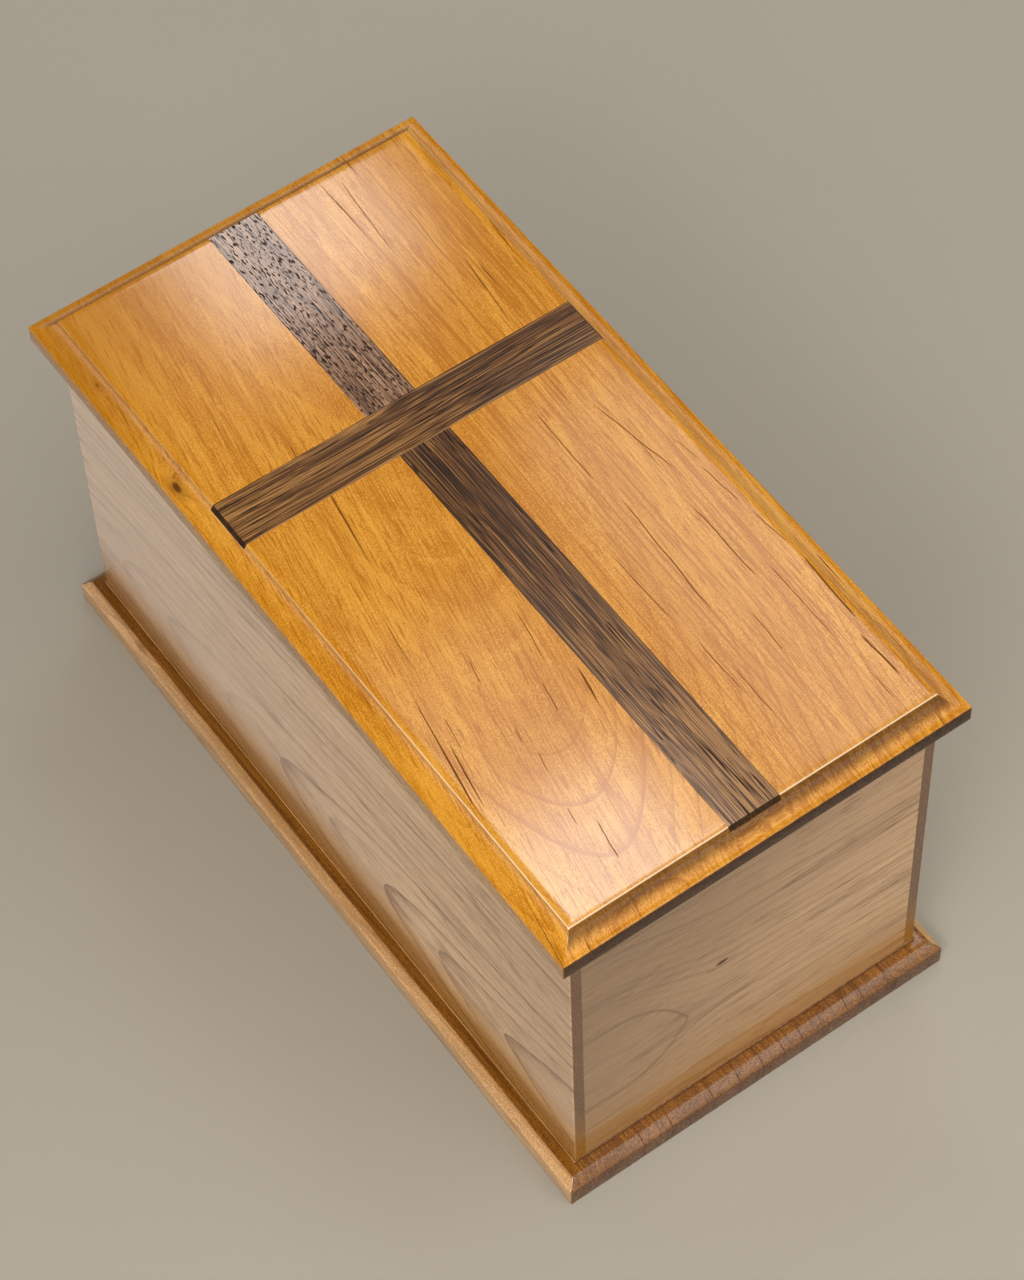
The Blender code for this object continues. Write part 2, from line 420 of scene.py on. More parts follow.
def knot_group():
    """A small knot: it swells the rings round it and has a dark core."""
    group, given, result = new_group(
        "Pin knot",
        {"Position": Vector(), "Centre": Vector(), "Size": 0.002, "Bulge": 0.003, "Depth": 2.0},
        {"Swell": float, "Core": float})
    away = vector_maths(group, "SUBTRACT", given["Position"], given["Centre"])
    away = vector_maths(group, "MULTIPLY", away, (1.0, KNOT_LENGTH, 1.0))
    reach = maths(group, "DIVIDE", vector_maths(group, "LENGTH", away), given["Size"])
    square = maths(group, "MULTIPLY", reach, reach)
    fall = maths(group, "EXPONENT", maths(group, "MULTIPLY", square, KNOT_SWELL_FALL))
    put_out(group, result,
            Swell=maths(group, "MULTIPLY", fall, given["Bulge"]),
            Core=ramp(group, reach, *KNOT_CORE_EDGES, 0.0, given["Depth"]))
    return group


def tongue_group():
    """A tongue of early wood that runs in from the left: the rings part round it, and a line rims it."""
    group, given, result = new_group(
        "Ring tongue",
        {"Position": Vector(), "Tip": Vector(), "Length": 0.03, "Half Height": 0.02, "Fall": 0.0,
         "Rim": 0.5},
        {"Push": float, "Line": float})
    away = parts_of(group, vector_maths(group, "SUBTRACT", given["Tip"], given["Position"]))
    below = maths(group, "ADD", maths(group, "MULTIPLY", away[1], given["Fall"]), away[2])
    off = maths(group, "ABSOLUTE", below)
    back = maths(group, "MINIMUM", maths(group, "DIVIDE", away[1], given["Length"]), 1.0)
    half = maths(group, "SUBTRACT", 1.0, maths(group, "POWER", maths(group, "SUBTRACT", 1.0, back), 3.0))
    half = maths(group, "MULTIPLY", maths(group, "MAXIMUM", half, 0.0), given["Half Height"])
    spread = maths(group, "MULTIPLY", ramp(group, back, -0.5, 1.0), given["Half Height"])
    outside = maths(group, "MAXIMUM", maths(group, "SUBTRACT", off, spread), 0.0)
    fade = maths(group, "EXPONENT", maths(group, "MULTIPLY", outside, TONGUE_FADE))
    push = maths(group, "MINIMUM", off, maths(group, "MULTIPLY", spread, fade))
    from_rim = maths(group, "ABSOLUTE", maths(group, "SUBTRACT", off, half))
    rim = ramp(group, from_rim, *TONGUE_RIM_EDGES, 0.0, given["Rim"])
    put_out(group, result,
            Push=maths(group, "MULTIPLY", push, maths(group, "SIGN", below)),
            Line=maths(group, "MULTIPLY", rim, maths(group, "GREATER_THAN", back, 0.0)))
    return group


def streak_group():
    """One pitch streak: a thin dark sheet along the grain between two points, narrowing at its ends."""
    group, given, result = new_group(
        "Pitch streak",
        {"Position": Vector(), "Waver": 0.0, "Start": Vector(), "Finish": Vector(), "Width": 0.0004},
        {"Streak": float})
    run = vector_maths(group, "SUBTRACT", given["Finish"], given["Start"])
    away = vector_maths(group, "SUBTRACT", given["Position"], given["Start"])
    away = vector_maths(group, "MULTIPLY", away, (1, 1, 0))
    length = vector_maths(group, "LENGTH", run)
    along = vector_maths(group, "DOT_PRODUCT", away, run)
    along = maths(group, "DIVIDE", along, maths(group, "MULTIPLY", length, length))
    across = parts_of(group, vector_maths(group, "CROSS_PRODUCT", away, run))[2]
    across = maths(group, "ADD", maths(group, "DIVIDE", across, length), given["Waver"])
    belly = maths(group, "MULTIPLY", maths(group, "SUBTRACT", 1.0, along), along)
    belly = ramp(group, belly, 0.0, STREAK_TAPER)
    wide = maths(group, "MULTIPLY", given["Width"], maths(group, "MAXIMUM", belly, 0.05))
    line = ramp(group, maths(group, "DIVIDE", maths(group, "ABSOLUTE", across), wide), *STREAK_EDGES)
    put_out(group, result, Streak=maths(group, "MULTIPLY", line, belly))
    return group


def alder_group():
    """Alder as it is sawn: soft growth rings, fine fibres, pitch streaks, and darker end grain."""
    blank = (1.0,) * 4
    group, given, result = new_group(
        "Alder grain",
        {"Out": 0.0, "Around": 0.0, "Grown": Vector(), "Seed": 0.0, "Ring Width": 0.0014, "Rings": 0.5,
         "Level": 0.5, "Ring Lines": 0.3, "Line Sharpness": 12.0, "Speckle": 1.0, "Bands": 0.9,
         "Lines": 0.5, "Vessels": 0.3, "Streaks": 0.5, "Knot": 0.0, "Rim": 0.0, "End": 0.0, "Edge": 0.0,
         "Face Pale": blank, "Face Deep": blank, "Edge Pale": blank, "Edge Deep": blank,
         "End Pale": blank, "End Deep": blank, "Pitch": blank},
        {"Color": tuple, "Roughness": float, "Height": float, "Lacquer": float})
    grown = given["Grown"]
    rings = maths(group, "DIVIDE", given["Out"], given["Ring Width"])
    counted = maths(group, "ADD", rings, given["Seed"])
    year = add_node(group, "ShaderNodeTexWhiteNoise", {"W": maths(group, "FLOOR", counted)},
                    noise_dimensions="1D").outputs["Value"]
    late_wood = maths(group, "POWER", maths(group, "FRACT", counted), given["Line Sharpness"])
    late_wood = maths(group, "MULTIPLY", late_wood, ramp(group, year, 0.0, 1.0, FAINTEST_YEAR, 1.0))
    slow_rings = vector_of(group, rings, parts_of(group, grown)[1], given["Around"])
    fibre = marks(group, grown, FIBRES, 2.0, 0.6)
    speck = marks(group, grown, SPECKS, 1.0, 0.6)
    fine = swayed(group, maths(group, "SUBTRACT", fibre, 0.5), speck, 2.0)
    tone = swayed(group, given["Level"], marks(group, slow_rings, RING_TONES, 3.0, 0.6), given["Rings"])
    tone = swayed(group, tone, marks(group, grown, PATCHES, 3.0, 0.55), given["Bands"])
    tone = swayed(group, tone, marks(group, grown, BANDS, 2.0, 0.55), given["Bands"])
    tone = maths(group, "MULTIPLY_ADD", fine, given["Speckle"], tone)
    line = ramp(group, marks(group, grown, FINE_LINES, 2.0), *LINE_EDGES)
    vessel = ramp(group, marks(group, grown, VESSELS, 1.0), *VESSEL_EDGES)
    for dark, share in ((line, "Lines"), (vessel, "Vessels"), (late_wood, "Ring Lines")):
        tone = maths(group, "SUBTRACT", tone, maths(group, "MULTIPLY", dark, given[share]))
    tone = maths(group, "SUBTRACT", tone, given["Rim"])
    likely = maths(group, "MULTIPLY", marks(group, grown, PITCH_PLACES, 1.0), PITCH_GATHERING)
    level = maths(group, "SUBTRACT", PITCH_RARITY, maths(group, "MULTIPLY", given["Streaks"], likely))
    crack = maths(group, "SUBTRACT", marks(group, grown, PITCH_STREAKS, 1.0), level)
    crack = ramp(group, crack, 0.0, PITCH_EDGE)
    pitch = maths(group, "MAXIMUM", crack, given["Knot"])
    colour = mix_paint(group, tone, given["Face Deep"], given["Face Pale"])
    for cut in ("Edge", "End"):
        wood = mix_paint(group, tone, given[cut + " Deep"], given[cut + " Pale"])
        colour = mix_paint(group, given[cut], colour, wood)
    stained = maths(group, "MULTIPLY", maths(group, "MINIMUM", pitch, 1.0), PITCH_STAIN)
    colour = mix_paint(group, stained, colour, given["Pitch"])
    colour = mix_paint(group, ramp(group, pitch, 1.0, 2.0, 0.0, 0.7), colour, BLACK)
    height = maths(group, "SUBTRACT", maths(group, "MULTIPLY", fibre, 0.8), crack)
    shine = ramp(group, maths(group, "MULTIPLY_ADD", fibre, 0.3, speck), 0.45, 0.75, 0.6, 1.0)
    shine = maths(group, "MULTIPLY_ADD", pitch, -0.9, shine)
    put_out(group, result,
            Color=colour,
            Roughness=maths(group, "MULTIPLY_ADD", pitch, 0.2, swayed(group, 0.25, fibre, 0.25)),
            Height=maths(group, "MULTIPLY_ADD", speck, 0.35, height),
            Lacquer=maths(group, "MULTIPLY", shine, ramp(group, given["End"], 0.0, 1.0, 1.0, 0.4)))
    return group


TREE_GROWTH = growth_group()
PIN_KNOT = knot_group()
RING_TONGUE = tongue_group()
PITCH_STREAK = streak_group()
ALDER_GRAIN = alder_group()


def use_group(tree, group, sockets):
    """Places a shader group in a tree with its own values."""
    return add_node(tree, "ShaderNodeGroup", sockets, node_tree=group).outputs


def facing(tree, normal, axis, start, rise=0.12):
    """How squarely a surface faces along an axis: 0 below start, and 1 from rise above it."""
    squarely = maths(tree, "ABSOLUTE", vector_maths(tree, "DOT_PRODUCT", normal, axis))
    return ramp(tree, squarely, start, min(1.0, start + rise))


def along_board(tree, place, along):
    """Turns positions or normals so that the grain, which runs along X or Y, is read along Y."""
    if along == "Y":
        return place
    turn = (0, 0, math.radians(90))
    return add_node(tree, "ShaderNodeMapping", {"Vector": place, "Rotation": turn}).outputs[0]


def drifted(tree, colour, place, drifts):
    """The colour, which changes to each drift's by a share, from one point to another: on the case boards the
    drifts are painted sheen, shade, shadow and reflection; on the lid a change in the wood's tone.
    """
    for other, start, finish, share in drifts:
        run = Vector(finish) - Vector(start)
        gone = vector_maths(tree, "SUBTRACT", place, start)
        gone = vector_maths(tree, "DOT_PRODUCT", gone, run / run.length_squared)
        colour = mix_paint(tree, ramp(tree, gone, 0.0, 1.0, 0.0, share), colour, paint(*other))
    return colour


def painted_arris_highlight(tree, colour, normal, place, pale, height):
    """The wood's colour with a highlight painted pale on the arris at a height, facing the near and left
    sides and mostly near the foot end.
    """
    at = parts_of(tree, place)
    towards = vector_maths(tree, "DOT_PRODUCT", normal, HIGHLIGHT_TOWARDS)
    glint = ramp(tree, parts_of(tree, normal)[2], 0.45, 0.65)
    glint = maths(tree, "MULTIPLY", glint, ramp(tree, towards, 0.03, 0.2))
    high = ramp(tree, at[2], height - HIGHLIGHT_DEPTH, height - HIGHLIGHT_DEPTH / 2, 0.0, 0.8)
    glint = maths(tree, "MULTIPLY", glint, high)
    glint = maths(tree, "MULTIPLY", glint, ramp(tree, at[1], 0.05, -0.12, 0.15, 1.0))
    return mix_paint(tree, glint, colour, paint(*pale))


def lacquered(tree, shader, colour, figure, coat, bump):
    """Puts a wood's figure on the shader, under two coats of clear lacquer cut back by rubbing."""
    bumps = add_node(tree, "ShaderNodeBump", {"Height": figure["Height"], "Distance": bump, "Strength": 1.0})
    tree.links.new(colour, shader.inputs["Base Color"])
    tree.links.new(figure["Roughness"], shader.inputs["Roughness"])
    tree.links.new(coat, shader.inputs["Coat Weight"])
    tree.links.new(bumps.outputs[0], shader.inputs["Normal"])
    shader.inputs["Specular IOR Level"].default_value = LACQUER_SPECULAR
    shader.inputs["Coat IOR"].default_value = LACQUER_IOR
    shader.inputs["Coat Roughness"].default_value = LACQUER_ROUGHNESS


def alder(name, colours, grown, grain, knots=(), tongue=None, streaks=(), drift=(), varied=(), arris_highlight=None,
          end_grain_and_shade_slope=0.0, sheen_edge_slope=0.0, dulled=0.0, along="Y", end_from=0.86, edge_from=0.86, bump=0.00005):
    """Lacquered alder. Grown places the board in its tree, grain sets its figure, along is the way it runs.

    Knots are (centre, size, bulge, depth) and streaks (start, finish, width). Varied holds what changes in
    the figure along an axis: (socket, axis, (from, to, first, last)). The arris highlight is (colour,
    height):
    a highlight painted on an arris. Faces that lean towards the ends take that share of the end's or edge's
    colour, and lose lacquer by dulled: on the lid's coves the end colour is partly end grain and partly
    painted shade on the steep part, and on the base the edge colour is a painted reflection.
    """
    made, tree, shader, given = new_material(name)
    standing = given["Object"]
    place = along_board(tree, standing, along)
    normal = along_board(tree, given["Normal"], along)
    swell, core, push, rim = 0.0, 0.0, 0.0, 0.0
    if tongue:
        flame = use_group(tree, RING_TONGUE, {"Position": place, **tongue})
        push, rim = flame["Push"], flame["Line"]
    for centre, size, bulge, depth in knots:
        knot = use_group(tree, PIN_KNOT, {
            "Position": place, "Centre": centre, "Size": size, "Bulge": bulge, "Depth": depth})
        swell = maths(tree, "ADD", knot["Swell"], swell)
        core = maths(tree, "MAXIMUM", knot["Core"], core)
    if streaks:
        waver = maths(tree, "SUBTRACT", marks(tree, place, STREAK_WAVERS, 2.0), 0.5)
        waver = maths(tree, "MULTIPLY", waver, STREAK_WAVER)
    for start, finish, width in streaks:
        streak = use_group(tree, PITCH_STREAK, {
            "Position": place, "Waver": waver, "Start": (*start, 0), "Finish": (*finish, 0),
            "Width": width})
        core = maths(tree, "MAXIMUM", streak["Streak"], core)
    growth = use_group(tree, TREE_GROWTH, {"Position": place, "Swell": swell, "Push": push, **grown})
    end = facing(tree, normal, (0, 1, 0), end_from)
    edge = facing(tree, normal, (1, 0, 0), edge_from)
    slope = facing(tree, normal, (0, 1, 0), SLOPE_FROM, SLOPE_RISE)
    # On the lid's coves this end colour is partly end grain and partly painted shade on the steep part.
    if end_grain_and_shade_slope:
        end = maths(tree, "MAXIMUM", end, maths(tree, "MULTIPLY", slope, end_grain_and_shade_slope))
    # This edge colour on slopes is a painted reflection on the base's short chamfers.
    if sheen_edge_slope:
        edge = maths(tree, "MAXIMUM", edge, maths(tree, "MULTIPLY", slope, sheen_edge_slope))
    at = parts_of(tree, place)
    figure = use_group(tree, ALDER_GRAIN, {
        "Out": growth["Out"], "Around": growth["Around"], "Grown": growth["Grown"], "Knot": core,
        "Rim": rim, "End": end, "Edge": edge, **grain,
        **{part: paint(*colour) for part, colour in colours.items()},
        **{part: ramp(tree, at[axis], *change) for part, axis, change in varied}})
    colour = drifted(tree, figure["Color"], standing, drift)
    # A highlight painted on the arris.
    if arris_highlight:
        colour = painted_arris_highlight(tree, colour, normal, standing, *arris_highlight)
    thin = ramp(tree, slope, 0.0, 1.0, 1.0, 1.0 - dulled)
    lacquered(tree, shader, colour, figure, maths(tree, "MULTIPLY", figure["Lacquer"], thin), bump)
    return made


def fit(piece, node, material):
    """Gives a finished piece its material and puts it in its CAD node's place on the urn."""
    piece.data.materials.append(material)
    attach(piece, "root")
    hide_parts(node)


# The base's long edges and chamfers are painted paler as a reflection; its short chamfers take some end-grain
# colour and a little of that painted reflection.
base_alder = alder(
    "base_alder",
    {"Face Pale": BASE_FACE_PALE, "Face Deep": BASE_FACE_DEEP, "Edge Pale": BASE_SHEEN_EDGE_PALE,
     "Edge Deep": BASE_SHEEN_EDGE_DEEP, "End Pale": BASE_END_PALE, "End Deep": BASE_END_DEEP,
     "Pitch": PITCH_COLOUR},
    {"Pith": (0.03, 0, -0.05), "Lean Left": -0.02, "Lean Right": -0.02, "Taper": 0.02, "Wander": 0.006,
     "Seed": 3.7},
    {"Ring Width": 0.0016, "Rings": 1.2, "Ring Lines": 0.9, "Speckle": 1.7, "Streaks": 0.7, "Seed": 3.7},
    knots=[(BASE_KNOT, 0.0020, 0.002, 0.5)],
    streaks=[((x, CRACK_START), (x - CRACK_LEAN, CRACK_FINISH), CRACK_HALF_WIDTH) for x in END_CRACKS],
    end_grain_and_shade_slope=0.45, sheen_edge_slope=0.12, dulled=0.3, edge_from=0.55)

seat_in = case_low.x - SEAT_REVEAL - base_low.x
board_top = base_high.z - SEAT_HEIGHT
base = moulded("base_board", base_low, base_high, [
    (BASE_CHAMFER, 0.0, 0), (0.0, 0.0, BASE_ARRIS), (0.0, board_top - BASE_CHAMFER, BASE_ARRIS),
    (BASE_CHAMFER, board_top, BASE_ARRIS), (seat_in, board_top, 0), (seat_in, base_high.z, SEAT_ARRIS),
    (seat_in + BASE_CHAMFER, base_high.z, 0)])
fit(base, "base", base_alder)

# The case: two long boards and two short ones of pale alder. Each long board is rabbeted at both ends, so
# that a thin tongue of its end grain covers the end of the short board. Glued, sanded flush and lacquered.
TONGUE = 0.0042
LAP = 0.00002
CASE_ARRIS = 0.0006
CASE_BUMP = 0.00002
CASE_FACE_PALE = (243, 206, 163)
CASE_FACE_DEEP = (134, 94, 60)
# The foot board's face takes a darker copy of the case colours: painted shade for its less lit side.
FOOT_SHADED_FACE_PALE = (219, 178, 132)
FOOT_SHADED_FACE_DEEP = (124, 88, 54)
# Painted reflection of the base's gold flat along the bottom of the case boards.
CASE_BASE_REFLECTION_COLOUR = (148, 99, 24)
# Painted sheen on the long boards towards the head end.
CASE_FAR_SHEEN_COLOUR = (228, 212, 204)
# Painted shadow under the lid, at the top left of the foot board.
CASE_LID_SHADOW_COLOUR = (110, 84, 58)
# Painted shade on the long boards towards the foot end.
CASE_NEAR_SHADE_COLOUR = (140, 112, 84)
CASE_END_PALE = (101, 64, 40)
CASE_END_DEEP = (60, 37, 22)
CASE_PITCH = (96, 62, 40)
# The short boards' grain is read along Y, so the face of the one at the foot lies at this x.
FOOT_FACE = 0.1416
FOOT_KNOT = (FOOT_FACE, -0.0117, 0.0808)
FOOT_TONGUE_TIP = (FOOT_FACE, -0.0245, 0.0590)

seat_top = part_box("base")[1].z
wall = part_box("side_left")[1].x - case_low.x
lid_low, lid_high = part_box("lid")
LID_STEP = 0.0030
lid_under = lid_low.z + LID_STEP


def sawn_to_plan(name, plan, low, high):
    """A block with upright sides, such as a board on edge, from its plan as seen from above."""
    return stacked(name, [[(x, y, height) for x, y in plan] for height in (low, high)])


def rounded_corner(x, y, ease, steps, start):
    """Points round an outside corner of a plan, eased by sanding, from the angle start on."""
    inner = Vector((x - math.copysign(ease, x), y - math.copysign(ease, y)))
    points = []
    for step in range(steps + 1):
        turn = start + math.radians(90) * step / steps
        points.append((inner.x + ease * math.cos(turn), inner.y + ease * math.sin(turn)))
    return points


def side_plan(hand):
    """The plan of a long board: full thickness between the short boards and a tongue past each."""
    outer, inner = hand * case_high.x, hand * (case_high.x - wall)
    lap = hand * (case_high.x - TONGUE)
    near, far = case_low.y, case_high.y
    points = [(inner, far - wall), (lap, far - wall), (lap, far)]
    for y, right, left in ((far, 0, 90), (near, -90, 180)):
        start = math.radians(right if hand > 0 else left)
        corner = rounded_corner(outer, y, CASE_ARRIS, CORNER_STEPS, start)
        points += corner if hand < 0 else corner[::-1]
    points += [(lap, near), (lap, near + wall), (inner, near + wall)]
    return points


def end_plan(hand):
    """The plan of a short board, held between the tongues."""
    half = case_high.x - TONGUE - LAP
    outer, inner = hand * case_high.y, hand * (case_high.y - wall + LAP)
    return [(-half, inner), (half, inner), (half, outer), (-half, outer)]


case_colours = {"Face Pale": CASE_FACE_PALE, "Face Deep": CASE_FACE_DEEP, "Edge Pale": CASE_FACE_PALE,
                "Edge Deep": CASE_FACE_DEEP, "End Pale": CASE_END_PALE, "End Deep": CASE_END_DEEP,
                "Pitch": CASE_PITCH}
case_grain = {"Speckle": 0.35, "Bands": 0.3, "Lines": 0.3, "Streaks": 0.2}
# The long boards' drifts are painted light: sheen towards the head end, shade towards the foot end and a
# reflection of the base along the bottom.
side_alder = alder(
    "side_alder", case_colours,
    {"Pith": (-0.1160, 0, 0.040), "Taper": -0.12, "Wander": 0.012, "Seed": 8.2},
    {**case_grain, "Ring Width": 0.0042, "Rings": 0.4, "Level": 0.68, "Ring Lines": 0.75,
     "Line Sharpness": 5.0, "Seed": 8.2},
    drift=[(CASE_FAR_SHEEN_COLOUR, (-0.07, -0.10, 0), (-0.07, 0.14, 0), 0.45),
           (CASE_NEAR_SHADE_COLOUR, (-0.07, -0.05, 0), (-0.07, -0.145, 0), 0.35),
           (CASE_BASE_REFLECTION_COLOUR, (0, 0, 0.048), (0, 0, 0.012), 0.85)],
    bump=CASE_BUMP)
# The foot board's face colours are painted shade, and its drifts a painted shadow under the lid and a painted
# reflection of the base along the bottom.
foot_alder = alder(
    "foot_alder", {**case_colours, "Edge Pale": FOOT_SHADED_FACE_PALE, "Edge Deep": FOOT_SHADED_FACE_DEEP},
    {"Pith": (FOOT_FACE, 0, -0.05), "Taper": -0.10, "Wander": 0.005, "Seed": 5.4},
    {**case_grain, "Ring Width": 0.0050, "Rings": 0.35, "Level": 0.64, "Ring Lines": 0.6,
     "Line Sharpness": 6.0, "Lines": 0.25, "Seed": 5.05},
    knots=[(FOOT_KNOT, 0.0013, 0.002, 2.0)],
    tongue={"Tip": FOOT_TONGUE_TIP, "Length": 0.034, "Half Height": 0.022, "Fall": 0.10, "Rim": 0.5},
    drift=[(CASE_LID_SHADOW_COLOUR, (0.06, -FOOT_FACE, 0.05), (-0.06, -FOOT_FACE, 0.13), 0.70),
           (CASE_BASE_REFLECTION_COLOUR, (0, 0, 0.058), (0, 0, 0.012), 0.50)],
    along="X", bump=CASE_BUMP)
head_alder = alder(
    "head_alder", case_colours,
    {"Pith": (-0.06, 0, 0.02), "Taper": 0.08, "Wander": 0.010, "Seed": 2.9},
    {**case_grain, "Ring Width": 0.0040, "Rings": 0.5, "Level": 0.66, "Ring Lines": 0.8,
     "Line Sharpness": 6.0, "Seed": 2.9},
    along="X", bump=CASE_BUMP)
for node, hand in (("side_left", -1), ("side_right", 1)):
    board = sawn_to_plan(node + "_board", side_plan(hand), seat_top, lid_under)
    fit(board, node, side_alder)
for node, hand, material in (("end_foot", -1, foot_alder), ("end_head", 1, head_alder)):
    board = sawn_to_plan(node + "_board", end_plan(hand), seat_top, lid_under)
    fit(board, node, material)

# The lid: one alder board with a cove worked round its four top edges, which leaves a raised field and a
# square lip. Two grooves cross the field for the walnut, and a step below drops inside the case.
LID_EDGE = 0.0063
COVE_DROP = 0.0049
COVE_INSET = 0.0077
COVE_STEPS = 20
STEP_CLEARANCE = 0.0010
STEP_ARRIS = 0.0003
LIP_UNDER_ARRIS = 0.0002
LIP_ARRIS = 0.0004
FIELD_ARRIS = 0.00040
TURN_IN = 0.002
FIELD_MARGIN = 0.003
INLAY_DEPTH = 0.0017
CUT_MARGIN = 0.002
GROOVE_PLAY = 0.00002

LID_FACE_PALE = (228, 162, 54)
LID_FACE_DEEP = (184, 112, 8)
# The edge colours are the wood's colour lightened by a painted reflection, on the lid's long lip and the
# steep top of the side coves.
LID_SHEEN_EDGE_PALE = (186, 144, 96)
LID_SHEEN_EDGE_DEEP = (154, 112, 66)
LID_END_PALE = (80, 52, 32)
LID_END_DEEP = (46, 27, 16)
LID_DARK_COLOUR = (168, 104, 10)
# A painted highlight on the field's near and left arris, where the lacquer would glint.
LID_ARRIS_HIGHLIGHT_COLOUR = (255, 226, 186)
LID_PITCH = (92, 44, 8)
LID_KNOT = (-0.0726, 0.0641, 0.1545)
LID_SMALL_KNOT = (-0.0713, 0.1133, 0.1553)
LID_STREAKS = [
    ((0.0387, 0.1394), (0.0346, 0.0963), 0.00021), ((0.0496, 0.1157), (0.0474, 0.0867), 0.00018),
    ((0.0526, 0.0872), (0.0482, 0.0499), 0.00027), ((0.0686, 0.0948), (0.0665, 0.0768), 0.00027),
    ((0.0337, 0.0200), (0.0328, -0.0178), 0.00027), ((0.0500, 0.0120), (0.0562, -0.0290), 0.00027),
    ((0.0628, -0.0157), (0.0642, -0.0286), 0.00018), ((0.0631, -0.0283), (0.0645, -0.0494), 0.00021),
    ((0.0515, -0.0376), (0.0513, -0.0772), 0.00030), ((0.0355, -0.0216), (0.0323, -0.0807), 0.00030),
    ((0.0654, -0.0516), (0.0670, -0.0715), 0.00024), ((0.0201, -0.0381), (0.0208, -0.0762), 0.00021),
    ((0.0570, -0.0670), (0.0564, -0.1120), 0.00021), ((0.0676, -0.0740), (0.0660, -0.1072), 0.00045),
    ((0.0419, -0.0818), (0.0407, -0.1033), 0.00024), ((0.0223, -0.0808), (0.0221, -0.1082), 0.00021),
    ((0.0250, -0.0956), (0.0249, -0.1189), 0.00021), ((0.0632, -0.1086), (0.0640, -0.1300), 0.00045),
    ((-0.0155, -0.0389), (-0.0193, -0.0618), 0.00022), ((-0.0244, -0.0652), (-0.0269, -0.0792), 0.00022),
    ((-0.0376, -0.0460), (-0.0400, -0.0568), 0.00020), ((-0.0402, -0.0736), (-0.0423, -0.0807), 0.00017),
    ((-0.0400, -0.0859), (-0.0418, -0.0940), 0.00020), ((-0.0557, -0.0588), (-0.0583, -0.0733), 0.00020),
    ((-0.0445, -0.1066), (-0.0460, -0.1144), 0.00020), ((-0.0400, -0.1147), (-0.0429, -0.1318), 0.00025)]

cove_radius = (COVE_INSET ** 2 + COVE_DROP ** 2) / (2 * COVE_DROP)
lip_top = lid_under + LID_EDGE


def cove_inset(height):
    """How far in from the lid's edge the cove lies at a height."""
    rise = height - lip_top
    return math.sqrt(max(0.0, 2 * cove_radius * rise - rise ** 2))


def cove_profile():
    """The lid's edge from the step underneath, round the lip and up the cove to the field."""
    step_in = lid_high.x - (case_high.x - wall - STEP_CLEARANCE)
    profile = [(step_in + TURN_IN, lid_low.z, 0), (step_in, lid_low.z, STEP_ARRIS), (step_in, lid_under, 0),
               (0.0, lid_under, LIP_UNDER_ARRIS), (0.0, lip_top, LIP_ARRIS)]
    steepest = math.asin(COVE_INSET / cove_radius)
    for step in range(1, COVE_STEPS):
        turn = steepest * step / COVE_STEPS
        profile.append((cove_radius * math.sin(turn), lip_top + cove_radius * (1 - math.cos(turn)), 0))
    profile.append((COVE_INSET, lid_high.z, FIELD_ARRIS))
    profile.append((COVE_INSET + FIELD_MARGIN, lid_high.z, 0))
    return profile


def cut_groove(board, low, high):
    """Ploughs a groove through the field and out through the coves."""
    plan = [(low.x, low.y), (high.x, low.y), (high.x, high.y), (low.x, high.y)]
    cutter = sawn_to_plan("groove", plan, low.z, high.z)
    cut = board.modifiers.new("groove", "BOOLEAN")
    cut.operation = "DIFFERENCE"
    cut.object = cutter
    settled = bpy.data.meshes.new_from_object(board.evaluated_get(bpy.context.evaluated_depsgraph_get()))
    board.modifiers.remove(cut)
    board.data = settled
    bpy.data.objects.remove(cutter)


bar_low, bar_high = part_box("cross_bar")
head_low, head_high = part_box("cross_upright_head")
groove_bottom = lid_high.z - INLAY_DEPTH
cut_top = lid_high.z + CUT_MARGIN
lid = moulded("lid_board", lid_low, lid_high, cove_profile())
cut_groove(lid, Vector((lid_low.x - CUT_MARGIN, bar_low.y - GROOVE_PLAY, groove_bottom)),
           Vector((lid_high.x + CUT_MARGIN, bar_high.y + GROOVE_PLAY, cut_top)))
cut_groove(lid, Vector((head_low.x - GROOVE_PLAY, lid_low.y - CUT_MARGIN, groove_bottom)),
           Vector((head_high.x + GROOVE_PLAY, lid_high.y + CUT_MARGIN, cut_top)))
lid.data.shade_smooth()
lid.data.set_sharp_from_angle(angle=FLAT_TO_SMOOTH)
